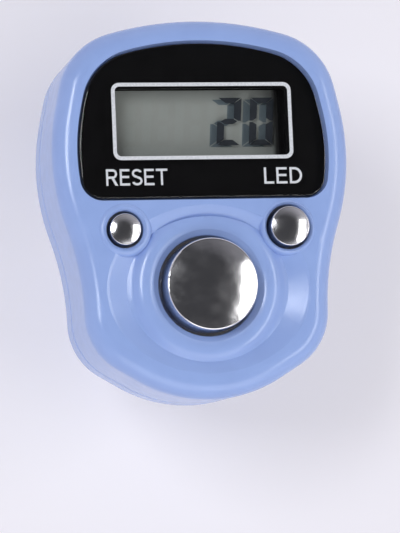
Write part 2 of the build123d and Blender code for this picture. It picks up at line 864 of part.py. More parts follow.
nodes = {
    "front_case": front_case(),
    "rear_cover": rear_cover(),
    "display_lens": display_lens(),
    "panel_mask": panel_mask(),
    "lcd_polariser": display_plate(polariser_width, rear_glass_bottom_y, polariser_z, polariser_thickness),
    "lcd_front_glass": display_plate(glass_width, front_glass_bottom_y, front_glass_z, glass_thickness),
    "lcd_rear_glass": display_plate(glass_width, rear_glass_bottom_y, rear_glass_z, glass_thickness),
    "lcd_reflector": display_plate(polariser_width, rear_glass_bottom_y, reflector_z, reflector_thickness),
    "light_guide": display_plate(guide_width, rear_glass_bottom_y, guide_z, guide_thickness),
    "lcd_holder": display_holder(),
    "zebra_strip": zebra_strip(),
    "backlight_lamps": backlight_lamps(),
    "circuit_board": circuit_board(),
    "controller_blob": controller_blob(),
    "chip_resistors": chip_row(-chip_row_x, 3),
    "chip_capacitors": chip_row(chip_row_x, 3),
    "count_switch_base": switch_base(0, count_y, *count_switch, count_travel),
    "count_switch_cover": switch_cover(0, count_y, *count_switch),
    "reset_switch_base": switch_base(reset_x, side_button_y, *side_switch, side_travel),
    "reset_switch_cover": switch_cover(reset_x, side_button_y, *side_switch),
    "light_switch_base": switch_base(light_x, side_button_y, *side_switch, side_travel),
    "light_switch_cover": switch_cover(light_x, side_button_y, *side_switch),
    "switch_leads": switch_leads(),
    "count_button": count_button(),
    "count_plunger": switch_plunger(0, count_y, count_plunger_radius),
    "reset_button": side_button(reset_x, *reset_sizes),
    "reset_plunger": switch_plunger(reset_x, side_button_y, side_plunger_radius),
    "light_button": side_button(light_x, *light_sizes),
    "light_plunger": switch_plunger(light_x, side_button_y, side_plunger_radius),
    "button_cell_left": button_cell(-cell_x, True),
    "button_cell_right": button_cell(cell_x, False),
    "cell_holder": cell_holder(),
    "cell_contact_left": cell_contact(-cell_x),
    "cell_contact_right": cell_contact(cell_x),
    "cell_bridge": cell_bridge(),
    "board_screws": board_screws(),
    "case_screws": case_screws(),
    "strap_hole_half": strap_hole_half(),
    "strap_stud_half": strap_stud_half(),
}

for name, shape in nodes.items():
    export_step(shape, f"parts/{name}.step")
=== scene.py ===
import math
import bmesh
import bpy
from mathutils import Matrix, Vector


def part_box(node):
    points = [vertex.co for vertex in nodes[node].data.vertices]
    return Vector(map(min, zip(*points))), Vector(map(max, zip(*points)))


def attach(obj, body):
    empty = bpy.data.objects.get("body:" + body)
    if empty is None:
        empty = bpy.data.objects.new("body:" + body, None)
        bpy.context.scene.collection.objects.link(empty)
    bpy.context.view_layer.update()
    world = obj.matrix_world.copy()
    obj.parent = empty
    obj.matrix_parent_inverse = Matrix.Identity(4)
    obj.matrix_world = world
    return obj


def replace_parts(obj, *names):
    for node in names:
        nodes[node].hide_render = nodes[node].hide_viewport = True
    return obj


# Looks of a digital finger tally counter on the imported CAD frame. Lengths are in metres.
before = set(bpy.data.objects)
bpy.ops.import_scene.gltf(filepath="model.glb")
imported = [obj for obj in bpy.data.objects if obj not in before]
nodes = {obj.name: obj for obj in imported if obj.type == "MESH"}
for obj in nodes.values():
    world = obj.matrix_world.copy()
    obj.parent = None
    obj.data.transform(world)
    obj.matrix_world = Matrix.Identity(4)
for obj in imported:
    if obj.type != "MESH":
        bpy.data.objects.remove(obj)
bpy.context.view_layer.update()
scene = bpy.context.scene
MM = 0.001

# Levels and places repeated from the CAD
FACE_TOP = 27.6 * MM
LENS_TOP = 27.5 * MM
DECK_TOP = 26.3 * MM
DECK_BOTTOM = 25.3 * MM
REAR_GLASS_TOP = 24.4 * MM
WINDOW_Y = 8.7 * MM
CASE_SCREW_Y = 15.2 * MM
CASE_SCREW_SEAT = 15.95 * MM


# Materials

NOISE_LOW = 0.3
NOISE_HIGH = 0.7
GLOSS_GRAIN = 700
SHEET_IOR = 1.49
STRAP_IOR = 1.4
STRAP_CLEARNESS = 0.55
SHADE_LEFT = 0.015
SHADE_START_X = 7.7 * MM
SHADE_END_X = 8.35 * MM


def new_material(name):
    """Material with a node tree: the material, its tree and its Principled shader."""
    made = bpy.data.materials.new(name)
    made.use_nodes = True
    return made, made.node_tree, made.node_tree.nodes["Principled BSDF"]


def noise(tree, scale, detail=2.0, stretch=(1, 1, 1)):
    """Noise in object space, about 1/scale metres to a cell."""
    place = tree.nodes.new("ShaderNodeTexCoord")
    mapping = tree.nodes.new("ShaderNodeMapping")
    mapping.inputs["Scale"].default_value = stretch
    texture = tree.nodes.new("ShaderNodeTexNoise")
    texture.inputs["Scale"].default_value = scale
    texture.inputs["Detail"].default_value = detail
    tree.links.new(place.outputs["Object"], mapping.inputs["Vector"])
    tree.links.new(mapping.outputs["Vector"], texture.inputs["Vector"])
    return texture.outputs["Fac"]


def spread(tree, value, low, high):
    """Maps the middle of a noise to a range."""
    node = tree.nodes.new("ShaderNodeMapRange")
    node.inputs["From Min"].default_value = NOISE_LOW
    node.inputs["From Max"].default_value = NOISE_HIGH
    node.inputs["To Min"].default_value = low
    node.inputs["To Max"].default_value = high
    tree.links.new(value, node.inputs["Value"])
    return node.outputs["Result"]


def tint(tree, value, first, second):
    """Blends two colours by a noise."""
    ramp = tree.nodes.new("ShaderNodeValToRGB")
    ramp.color_ramp.elements[0].position = NOISE_LOW
    ramp.color_ramp.elements[0].color = (*first, 1)
    ramp.color_ramp.elements[1].position = NOISE_HIGH
    ramp.color_ramp.elements[1].color = (*second, 1)
    tree.links.new(value, ramp.inputs["Fac"])
    return ramp.outputs["Color"]


def bump(tree, value, depth, strength=1.0):
    """Fine relief of a given depth."""
    node = tree.nodes.new("ShaderNodeBump")
    node.inputs["Strength"].default_value = strength
    node.inputs["Distance"].default_value = depth
    tree.links.new(value, node.inputs["Height"])
    return node.outputs["Normal"]


def surface(name, first, second, rough, grain, depth, metal=0.0, cloud=350, gloss=0.5):
    """Opaque finish: two-tone colour, uneven gloss and a fine relief."""
    made, tree, shader = new_material(name)
    shader.inputs["Metallic"].default_value = metal
    shader.inputs["Specular IOR Level"].default_value = gloss
    colour = tint(tree, noise(tree, cloud, 3.0), first, second)
    tree.links.new(colour, shader.inputs["Base Color"])
    tree.links.new(spread(tree, noise(tree, GLOSS_GRAIN, 4.0), *rough), shader.inputs["Roughness"])
    tree.links.new(bump(tree, noise(tree, grain, 2.0), depth), shader.inputs["Normal"])
    return made


def clear(name, colour, rough, gloss=1.0):
    """See-through sheet that reflects by its Fresnel gloss on its outside."""
    made, tree, shader = new_material(name)
    tree.nodes.remove(shader)
    through = tree.nodes.new("ShaderNodeBsdfTransparent")
    through.inputs["Color"].default_value = (*colour, 1)
    mirror = tree.nodes.new("ShaderNodeBsdfGlossy")
    mirror.inputs["Color"].default_value = (gloss, gloss, gloss, 1)
    tree.links.new(spread(tree, noise(tree, 500, 4.0), *rough), mirror.inputs["Roughness"])
    tree.links.new(bump(tree, noise(tree, 260, 1.0), 2e-6), mirror.inputs["Normal"])
    fresnel = tree.nodes.new("ShaderNodeFresnel")
    fresnel.inputs["IOR"].default_value = SHEET_IOR
    side = tree.nodes.new("ShaderNodeNewGeometry")
    front = tree.nodes.new("ShaderNodeMath")
    front.operation = "SUBTRACT"
    front.use_clamp = True
    tree.links.new(fresnel.outputs["Fac"], front.inputs[0])
    tree.links.new(side.outputs["Backfacing"], front.inputs[1])
    mix = tree.nodes.new("ShaderNodeMixShader")
    tree.links.new(front.outputs["Value"], mix.inputs["Fac"])
    tree.links.new(through.outputs["BSDF"], mix.inputs[1])
    tree.links.new(mirror.outputs["BSDF"], mix.inputs[2])
    tree.links.new(mix.outputs["Shader"], tree.nodes["Material Output"].inputs["Surface"])
    return made


def soft_plastic(name):
    """Milky see-through strap plastic."""
    made, tree, shader = new_material(name)
    colour = tint(tree, noise(tree, 300, 3.0), (0.84, 0.87, 0.90), (0.90, 0.92, 0.94))
    tree.links.new(colour, shader.inputs["Base Color"])
    tree.links.new(spread(tree, noise(tree, 600, 3.0), 0.34, 0.44), shader.inputs["Roughness"])
    tree.links.new(bump(tree, noise(tree, 400, 2.0), 2e-6), shader.inputs["Normal"])
    shader.inputs["IOR"].default_value = STRAP_IOR
    shader.inputs["Transmission Weight"].default_value = STRAP_CLEARNESS
    return made


def darken_end(material, start, end):
    """Fades a finish to black along X, like the shade at the end of a display."""
    tree = material.node_tree
    target = tree.nodes["Principled BSDF"].inputs["Base Color"]
    colour = target.links[0].from_socket
    place = tree.nodes.new("ShaderNodeTexCoord")
    split = tree.nodes.new("ShaderNodeSeparateXYZ")
    fade = tree.nodes.new("ShaderNodeMapRange")
    fade.interpolation_type = "SMOOTHSTEP"
    fade.inputs["From Min"].default_value = start
    fade.inputs["From Max"].default_value = end
    fade.inputs["To Min"].default_value = 1.0
    fade.inputs["To Max"].default_value = SHADE_LEFT
    scaled = tree.nodes.new("ShaderNodeVectorMath")
    scaled.operation = "SCALE"
    tree.links.new(place.outputs["Object"], split.inputs["Vector"])
    tree.links.new(split.outputs["X"], fade.inputs["Value"])
    tree.links.new(colour, scaled.inputs["Vector"])
    tree.links.new(fade.outputs["Result"], scaled.inputs["Scale"])
    tree.links.new(scaled.outputs["Vector"], target)


case_blue = surface("case_blue", (0.278, 0.393, 0.718), (0.294, 0.415, 0.748), (0.16, 0.26), 900, 4e-6)
lens_clear = clear("lens_clear", (0.97, 0.97, 0.97), (0.02, 0.09))
glass_clear = clear("glass_clear", (0.985, 0.99, 0.985), (0.02, 0.05), 0.5)
# Black of the panel's mask, also used for the black ring of painted shade on the window's walls
mask_black = surface(
    "mask_black", (0.001, 0.001, 0.0013), (0.0018, 0.0018, 0.0022), (0.4, 0.5), 2000, 2e-6, gloss=0.08
)
lcd_back = surface("lcd_back", (0.310, 0.336, 0.318), (0.332, 0.357, 0.340), (0.5, 0.62), 5000, 4e-6)
# Painted shade: the display's grey fades to black at its right end, where the window's wall casts its shadow
darken_end(lcd_back, SHADE_START_X, SHADE_END_X)
chrome = surface("chrome", (0.80, 0.80, 0.82), (0.74, 0.74, 0.76), (0.08, 0.2), 620, 1.4e-5, metal=1.0)
print_white = surface(
    "print_white", (0.54, 0.57, 0.60), (0.70, 0.72, 0.75), (0.35, 0.5), 4000, 3e-6, cloud=5200
)
segment_dark = surface("segment_dark", (0.016, 0.021, 0.029), (0.022, 0.028, 0.038), (0.3, 0.4), 4000, 1e-6)
segment_shadow = surface(
    "segment_shadow", (0.112, 0.152, 0.176), (0.124, 0.165, 0.190), (0.5, 0.62), 5000, 4e-6
)
segment_faint = surface(
    "segment_faint", (0.300, 0.322, 0.302), (0.325, 0.345, 0.327), (0.5, 0.62), 5000, 4e-6
)
strap_clear = soft_plastic("strap_clear")
plastic_black = surface(
    "plastic_black", (0.010, 0.010, 0.011), (0.016, 0.016, 0.017), (0.35, 0.5), 3000, 8e-6
)
plastic_white = surface("plastic_white", (0.74, 0.74, 0.72), (0.80, 0.80, 0.78), (0.3, 0.42), 2500, 6e-6)
rubber = surface("rubber", (0.03, 0.03, 0.03), (0.30, 0.28, 0.26), (0.6, 0.75), 2500, 1e-5, cloud=2600)
board_green = surface("board_green", (0.010, 0.075, 0.028), (0.016, 0.105, 0.040), (0.28, 0.42), 2200, 8e-6)
potting = surface("potting", (0.008, 0.008, 0.009), (0.014, 0.014, 0.015), (0.12, 0.3), 900, 1.2e-5)
chip_tan = surface("chip_tan", (0.30, 0.20, 0.11), (0.38, 0.27, 0.16), (0.4, 0.55), 3500, 6e-6)
steel = surface("steel", (0.60, 0.60, 0.60), (0.52, 0.52, 0.53), (0.18, 0.34), 2600, 4e-6, metal=1.0)
brass = surface("brass", (0.72, 0.53, 0.24), (0.62, 0.44, 0.19), (0.2, 0.36), 2400, 4e-6, metal=1.0)
screw_steel = surface(
    "screw_steel", (0.46, 0.46, 0.47), (0.36, 0.36, 0.37), (0.2, 0.38), 3200, 5e-6, metal=1.0
)

finishes = {
    case_blue: ["front_case", "rear_cover"],
    lens_clear: ["display_lens"],
    mask_black: ["panel_mask"],
    glass_clear: ["lcd_polariser", "lcd_front_glass"],
    lcd_back: ["lcd_rear_glass", "lcd_reflector"],
    plastic_white: ["light_guide", "backlight_lamps", "count_plunger", "reset_plunger", "light_plunger"],
    plastic_black: [
        "lcd_holder", "cell_holder", "chip_resistors",
        "count_switch_base", "reset_switch_base", "light_switch_base",
    ],
    rubber: ["zebra_strip"],
    board_green: ["circuit_board"],
    potting: ["controller_blob"],
    chip_tan: ["chip_capacitors"],
    chrome: ["count_button", "reset_button", "light_button"],
    steel: [
        "count_switch_cover", "reset_switch_cover", "light_switch_cover",
        "switch_leads", "button_cell_left", "button_cell_right",
    ],
    brass: ["cell_contact_left", "cell_contact_right", "cell_bridge"],
    screw_steel: ["board_screws", "case_screws"],
    strap_clear: ["strap_hole_half", "strap_stud_half"],
}
for finish, names in finishes.items():
    for name in names:
        nodes[name].data.materials.clear()
        nodes[name].data.materials.append(finish)


# Mesh pieces

def piece(name, mesh, finish, smooth=False):
    """Puts a mesh in the scene as a named piece that rides on the case."""
    mesh.materials.clear()
    mesh.materials.append(finish)
    mesh.polygons.foreach_set("use_smooth", [smooth] * len(mesh.polygons))
    made = bpy.data.objects.new(name, mesh)
    scene.collection.objects.link(made)
    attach(made, "counter")
    return made


def mesh_of(bm, name):
    """Turns a bmesh into a mesh with its faces outwards."""
    bmesh.ops.recalc_face_normals(bm, faces=bm.faces[:])
    mesh = bpy.data.meshes.new(name)
    bm.to_mesh(mesh)
    bm.free()
    return mesh


def add_plate(bm, outline, bottom, top):
    """Thin plate from a flat outline."""
    low = [bm.verts.new((x, y, bottom)) for x, y in outline]
    high = [bm.verts.new((x, y, top)) for x, y in outline]
    bm.faces.new(high)
    bm.faces.new(low[::-1])
    for i in range(len(outline)):
        j = (i + 1) % len(outline)
        bm.faces.new((low[i], low[j], high[j], high[i]))


def add_ring(bm, outside, inside, bottom, top):
    """Thin flat ring between two outlines with the same number of points."""
    loops = [[bm.verts.new((x, y, z)) for x, y in line] for z in (bottom, top) for line in (outside, inside)]
    pairs = [(loops[0], loops[2]), (loops[2], loops[3]), (loops[3], loops[1]), (loops[1], loops[0])]
    for first, second in pairs:
        for i in range(len(outside)):
            j = (i + 1) % len(outside)
            bm.faces.new((first[i], first[j], second[j], second[i]))


def round_box(half_x, half_y, radius, centre_y, steps=8):
    """Outline of a rectangle with round corners."""
    points = []
    for corner in range(4):
        side_x = (1, -1, -1, 1)[corner]
        side_y = (1, 1, -1, -1)[corner]
        for i in range(steps + 1):
            angle = math.radians(90 * (corner + i / steps))
            x = side_x * (half_x - radius) + radius * math.cos(angle)
            y = side_y * (half_y - radius) + radius * math.sin(angle)
            points.append((x, centre_y + y))
    return points


def window_ring(name, outer, inner, bottom, top, finish):
    """Flat ring round the window between two boxes of half width, half height and corner radius in mm."""
    bm = bmesh.new()
    outside, inside = [round_box(*[size * MM for size in box], WINDOW_Y) for box in (outer, inner)]
    add_ring(bm, outside, inside, bottom, top)
    return piece(name, mesh_of(bm, name), finish)


def cut(target, cutter, mode, crossing=False):
    """Boolean of two meshes, returned as a new mesh; crossing is for a cutter that runs through itself."""
    first = bpy.data.objects.new("cut_target", target)
    second = bpy.data.objects.new("cut_tool", cutter)
    scene.collection.objects.link(first)
    scene.collection.objects.link(second)
    step = first.modifiers.new("cut", "BOOLEAN")
    step.operation = mode
    step.solver = "EXACT"
    step.use_self = crossing
    step.object = second
    bpy.context.view_layer.update()
    result = bpy.data.meshes.new_from_object(first.evaluated_get(bpy.context.evaluated_depsgraph_get()))
    bpy.data.objects.remove(first)
    bpy.data.objects.remove(second)
    return result


def lathe(bm, profile, place, steps=48):
    """Turned form about local Z from (radius, height) points; a zero radius closes an end."""
    rings = []
    for radius, height in profile:
        if radius == 0:
            rings.append([bm.verts.new(place @ Vector((0, 0, height)))])
            continue
        ring = []
        for i in range(steps):
            angle = 2 * math.pi * i / steps
            spot = Vector((radius * math.cos(angle), radius * math.sin(angle), height))
            ring.append(bm.verts.new(place @ spot))
        rings.append(ring)
    for low, high in zip(rings, rings[1:]):
        for i in range(steps):
            j = (i + 1) % steps
            if len(low) == 1:
                bm.faces.new((low[0], high[i], high[j]))
            elif len(high) == 1:
                bm.faces.new((low[i], low[j], high[0]))
            else:
                bm.faces.new((low[i], low[j], high[j], high[i]))


# White print on the lens: window frame and the two legends in plain capitals

STROKE = 0.14
PRINT_BOTTOM = LENS_TOP + 0.004 * MM
PRINT_TOP = PRINT_BOTTOM + 0.012 * MM
# Half width, half height and corner radius, in millimetres
FRAME_OUTSIDE = (9.2, 3.88, 0.8)
FRAME_INSIDE = (8.83, 3.51, 0.48)
LEGEND_LOW_Y = 2.275 * MM
LEGEND_HEIGHT = 1.65 * MM
RESET_LEFT_X = -10.03 * MM
RESET_LETTER_WIDTH = 1.5 * MM
RESET_GAP = 0.18 * MM
LIGHT_LEFT_X = 6.05 * MM
LIGHT_LETTER_WIDTH = 1.65 * MM
LIGHT_GAP = 0.25 * MM


def arc(centre_x, centre_y, radius_x, radius_y, start, end, steps=10):
    """Points on an oval arc between two angles in degrees."""
    points = []
    for i in range(steps + 1):
        angle = math.radians(start + (end - start) * i / steps)
        points.append((centre_x + radius_x * math.cos(angle), centre_y + radius_y * math.sin(angle)))
    return points


def bowl(width, low, high, inset):
    """Closed outline of a letter's round half, straight on its left side."""
    radius = (high - low) / 2 - inset
    reach = width - inset - min(radius, 0.6 * width)
    curve = arc(reach, (low + high) / 2, width - inset - reach, radius, -90, 90, 16)
    return [(inset, low + inset), *curve, (inset, high - inset)]


def letter_shapes(letter):
    """Plates and rings of a capital, one unit high."""
    t = STROKE
    if letter == "E":
        middle = 0.45
        low_bar = [(0, 0), (0.68, 0), (0.68, t), (t, t)]
        middle_bar = [(t, middle), (0.63, middle), (0.63, middle + t), (t, middle + t)]
        return [[*low_bar, *middle_bar, (t, 1 - t), (0.66, 1 - t), (0.66, 1), (0, 1)]], []
    if letter == "L":
        return [[(0, 0), (0.62, 0), (0.62, t), (t, t), (t, 1), (0, 1)]], []
    if letter == "T":
        middle = 0.39
        stem = [(middle - t / 2, 0), (middle + t / 2, 0), (middle + t / 2, 1 - t), (0.78, 1 - t)]
        return [[*stem, (0.78, 1), (0, 1), (0, 1 - t), (middle - t / 2, 1 - t)]], []
    if letter == "D":
        return [], [(bowl(0.78, 0, 1, 0), bowl(0.78, 0, 1, t))]
    if letter == "R":
        low = 0.42
        leg = [(0.36, low), (0.61, 0), (0.8, 0), (0.55, low)]
        stem = [(0, 0), (t, 0), (t, low), (0, low)]
        return [stem, leg], [(bowl(0.74, low, 1, 0), bowl(0.74, low, 1, t))]
    outer = arc(0.36, 0.73, 0.34, 0.27, 20, 270, 18) + arc(0.36, 0.28, 0.36 - t, 0.28 - t, 90, -160, 18)
    inner = arc(0.36, 0.73, 0.34 - t, 0.27 - t, 20, 270, 18) + arc(0.36, 0.28, 0.36, 0.28, 90, -160, 18)
    return [outer + inner[::-1]], []


LETTER_WIDTHS = {"R": 0.8, "E": 0.68, "S": 0.72, "T": 0.78, "L": 0.62, "D": 0.78}


def legend(name, letters, left_x, width, gap):
    """Row of capitals printed on the lens, where width is that of a letter's unit square."""
    bm = bmesh.new()
    x = left_x
    for letter in letters:
        plates, rings = letter_shapes(letter)
        for line in plates:
            outline = [(x + u * width, LEGEND_LOW_Y + v * LEGEND_HEIGHT) for u, v in line]
            add_plate(bm, outline, PRINT_BOTTOM, PRINT_TOP)
        for pair in rings:
            outside, inside = [
                [(x + u * width, LEGEND_LOW_Y + v * LEGEND_HEIGHT) for u, v in line] for line in pair
            ]
            add_ring(bm, outside, inside, PRINT_BOTTOM, PRINT_TOP)
        x += LETTER_WIDTHS[letter] * width + gap
    return piece(name, mesh_of(bm, name), print_white)


window_ring(
    "window_frame_print", FRAME_OUTSIDE, FRAME_INSIDE, PRINT_BOTTOM, PRINT_TOP, print_white
)
legend("reset_legend", "RESET", RESET_LEFT_X, RESET_LETTER_WIDTH, RESET_GAP)
legend("light_legend", "LED", LIGHT_LEFT_X, LIGHT_LETTER_WIDTH, LIGHT_GAP)

# Mask sheet: the CAD sheet with its front set back a little, so that it never shares a plane with the lens

MASK_SET_BACK = 0.03 * MM
WELD = 1e-7
bm = bmesh.new()
bm.from_mesh(nodes["panel_mask"].data)
bmesh.ops.remove_doubles(bm, verts=bm.verts[:], dist=WELD)
sheet_low, sheet_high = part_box("panel_mask")
for v in bm.verts:
    if v.co.z > (sheet_low.z + sheet_high.z) / 2:
        v.co.z -= MASK_SET_BACK
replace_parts(piece("mask_sheet", mesh_of(bm, "mask_sheet"), mask_black), "panel_mask")

# Display: segments of five places with the lit ones' painted shadows, the glass, a dark border and a black
# ring of painted shade on the window's walls

COUNT_SHOWN = "   20"
DIGIT_BOTTOM = 24.95 * MM
DIGIT_TOP = DIGIT_BOTTOM + 0.02 * MM
DIGIT_WIDTH = 2.45 * MM
DIGIT_HEIGHT = 4.84 * MM
DIGIT_PITCH = 3.35 * MM
DIGIT_LOW_Y = 6.6 * MM
DIGIT_RIGHT_X = 7.86 * MM
DIGIT_BAR = 0.54 * MM
DIGIT_SIDE_BAR = 0.74 * MM
DIGIT_GAP = 0.06 * MM
DIGIT_SLANT = math.tan(math.radians(4.5))
FAINT_TOP = REAR_GLASS_TOP + 0.01 * MM
SHADOW_BOTTOM = REAR_GLASS_TOP + 0.012 * MM
SHADOW_TOP = REAR_GLASS_TOP + 0.02 * MM
SHADOW_SHIFT_X = -0.6 * MM
SHADOW_SHIFT_Y = -0.1 * MM
GLASS_CHAMFER = 0.08 * MM
CELL_LIFT = 0.004 * MM
BORDER_OUTSIDE = (9.3, 3.75, 0.3)
BORDER_INSIDE = (8.5, 3.6, 0.2)
BORDER_TOP = REAR_GLASS_TOP + 0.03 * MM
# Black ring of painted shade on the window's walls, which lie in shade; half width, half height and corner
# radius in mm
WALL_SHADE_OUTSIDE = (9.18, 3.83, 0.48)
WALL_SHADE_INSIDE = (9.02, 3.67, 0.32)
WALL_SHADE_BOTTOM = DECK_BOTTOM + 0.02 * MM
WALL_SHADE_TOP = DECK_TOP - 0.04 * MM
LIT = {"2": "abged", "0": "abcdef", " ": ""}


def flipped(line, height):
    """Mirror image of an outline, top to bottom."""
    return [(x, height - y) for x, y in reversed(line)]


def segment_outlines():
    """The seven bars of one place, by letter, in its own box."""
    w, h, t, e = DIGIT_WIDTH, DIGIT_HEIGHT, DIGIT_BAR, DIGIT_GAP
    u = DIGIT_SIDE_BAR
    m = h / 2
    top = [(e, h), (w - e, h), (w - u - e, h - t), (u + e, h - t)]
    left = [(0, h - e), (u, h - t - e), (u, m + t / 2 + e), (0.4 * u, m + e), (0, m + e)]
    middle = [(0.4 * u + e, m), (u + e, m + t / 2), (w - u - e, m + t / 2)]
    middle += [(w - 0.4 * u - e, m), (w - u - e, m - t / 2), (u + e, m - t / 2)]
    right = [(w - x, y) for x, y in reversed(left)]
    return {
        "a": top, "f": left, "b": right, "g": middle,
        "d": flipped(top, h), "e": flipped(left, h), "c": flipped(right, h),
    }


lit_bars = bmesh.new()
shadow_bars = bmesh.new()
faint_bars = bmesh.new()
middle_y = DIGIT_HEIGHT / 2
for places_left, digit in enumerate(reversed(COUNT_SHOWN)):
    left_x = DIGIT_RIGHT_X - DIGIT_WIDTH - places_left * DIGIT_PITCH
    for letter, line in segment_outlines().items():
        outline = [(left_x + x + (y - middle_y) * DIGIT_SLANT, DIGIT_LOW_Y + y) for x, y in line]
        if letter in LIT[digit]:
            add_plate(lit_bars, outline, DIGIT_BOTTOM, DIGIT_TOP)
            fallen = [(x + SHADOW_SHIFT_X, y + SHADOW_SHIFT_Y) for x, y in outline]
            add_plate(shadow_bars, fallen, SHADOW_BOTTOM, SHADOW_TOP)
        else:
            add_plate(faint_bars, outline, REAR_GLASS_TOP, FAINT_TOP)
piece("lit_segments", mesh_of(lit_bars, "lit_segments"), segment_dark)
piece("segment_shadows", mesh_of(shadow_bars, "segment_shadows"), segment_shadow)
piece("unlit_segments", mesh_of(faint_bars, "unlit_segments"), segment_faint)

bm = bmesh.new()
glass_low, glass_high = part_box("lcd_front_glass")
film_low, film_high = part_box("lcd_polariser")
steps = [
    (glass_low, glass_high, 0, glass_low.z + CELL_LIFT),
    (glass_low, glass_high, 0, glass_high.z - GLASS_CHAMFER),
    (glass_low, glass_high, GLASS_CHAMFER, glass_high.z),
    (film_low, film_high, 0, film_low.z),
    (film_low, film_high, 0, film_high.z),
]
loops = []
for low, high, inset, z in steps:
    left_x, right_x = low.x + inset, high.x - inset
    low_y, high_y = low.y + inset, high.y - inset
    corners = [(left_x, low_y), (right_x, low_y), (right_x, high_y), (left_x, high_y)]
    loops.append([bm.verts.new((x, y, z)) for x, y in corners])
for first, second in zip(loops, loops[1:]):
    for i in range(4):
        j = (i + 1) % 4
        bm.faces.new((first[i], first[j], second[j], second[i]))
bm.faces.new(loops[-1])
bm.faces.new(loops[0][::-1])
cell = piece("display_cell", mesh_of(bm, "display_cell"), glass_clear)
cell.data.materials.append(lcd_back)
# The face made last is the cell's back, which shows the display's grey with its painted shade at the right
# end
cell.data.polygons[-1].material_index = 1
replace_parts(cell, "lcd_front_glass", "lcd_polariser")
window_ring("display_border", BORDER_OUTSIDE, BORDER_INSIDE, FAINT_TOP, BORDER_TOP, mask_black)
# Painted shade: a black ring on the window's walls, standing in for the shade that falls there
window_ring("window_wall_shade", WALL_SHADE_OUTSIDE, WALL_SHADE_INSIDE, WALL_SHADE_BOTTOM, WALL_SHADE_TOP, mask_black)

# Finger strap: ribbons with beaded edges, raised eyelets and a mushroom stud

STRAP_HALF_WIDTH = 4.0 * MM
STRAP_EDGE = 0.55 * MM
STRAP_CORE = 0.42 * MM
STRAP_TAIL = 3.4 * MM
STRAP_THINNEST = 0.02 * MM
EDGE_ROUND = 0.3 * MM
BEAD_INNER = 1.0 * MM
BEAD_OUTER = 0.5 * MM
EYELET_RADIUS = 0.95 * MM
EYELET_FLAT = 1.35 * MM
EYELET_REACH = 1.65 * MM
BEND = 5.55 * MM
RIGHT_LEG_X = 10.25 * MM
LEFT_LEG_X = -9.05 * MM
TAIL_Z = 11.4 * MM
BEND_Z = 6.1 * MM
BOW_DEPTH = 0.25 * MM
BOW_LENGTH = 7.5 * MM
STUD_LEG_X = 9.05 * MM
STUD_LEG_Z = 6.2 * MM
STUD_Z = 8.0 * MM
HEAD_Z = 15.0 * MM
HEAD_LENGTH = 2.2 * MM
HEAD_WIDTH = 9.1 * MM
HEAD_HEIGHT = 0.95 * MM
HEAD_ROUND = 0.2 * MM
HOLE_COUNT = 5
HOLE_PITCH = 3.3 * MM
HOLE_TOOL_DEPTH = 3 * MM
# Radius and distance from the stud half's middle line, in millimetres
STUD_PROFILE = [
    (0, 0), (0.95, 0), (0.95, 0.55), (0.78, 0.7), (0.75, 0.8), (0.75, 1.8), (0.85, 1.88), (1.15, 1.9),
    (1.28, 1.98), (1.3, 2.1), (1.24, 2.24), (1.05, 2.36), (0.75, 2.43), (0.4, 2.45), (0, 2.45),
]


def smoothstep(low, high, value):
    """Soft step from 0 to 1."""
    share = min(1.0, max(0.0, (value - low) / (high - low)))
    return share * share * (3 - 2 * share)


def loop_place(s):
    """Point and outward direction on the hole half's middle line, from its tail, in the XZ plane."""
    first = TAIL_Z - BEND_Z
    quarter = BEND * math.pi / 2
    flat = RIGHT_LEG_X - LEFT_LEG_X - 2 * BEND
    if s < first:
        return Vector((RIGHT_LEG_X, 0, TAIL_Z - s)), Vector((1, 0, 0))
    s -= first
    if s < quarter:
        out = Vector((math.cos(s / BEND), 0, -math.sin(s / BEND)))
        return Vector((RIGHT_LEG_X - BEND, 0, BEND_Z)) + out * BEND, out
    s -= quarter
    if s < flat:
        return Vector((RIGHT_LEG_X - BEND - s, 0, BEND_Z - BEND)), Vector((0, 0, -1))
    s -= flat
    if s < quarter:
        out = Vector((-math.sin(s / BEND), 0, -math.cos(s / BEND)))
        return Vector((LEFT_LEG_X + BEND, 0, BEND_Z)) + out * BEND, out
    s -= quarter
    bow = BOW_DEPTH * math.sin(math.pi * min(1.0, s / BOW_LENGTH))
    return Vector((LEFT_LEG_X - bow, 0, BEND_Z + s)), Vector((-1, 0, 0))


def leg_place(s):
    """Point and outward direction on the stud half's middle line, from its lower end."""
    return Vector((STUD_LEG_X, 0, STUD_LEG_Z + s)), Vector((1, 0, 0))


def bead(full_until, gone_from, distance):
    """Half thickness at a distance from the ribbon's edge or an eyelet's middle."""
    return STRAP_CORE + (STRAP_EDGE - STRAP_CORE) * (1 - smoothstep(full_until, gone_from, distance))


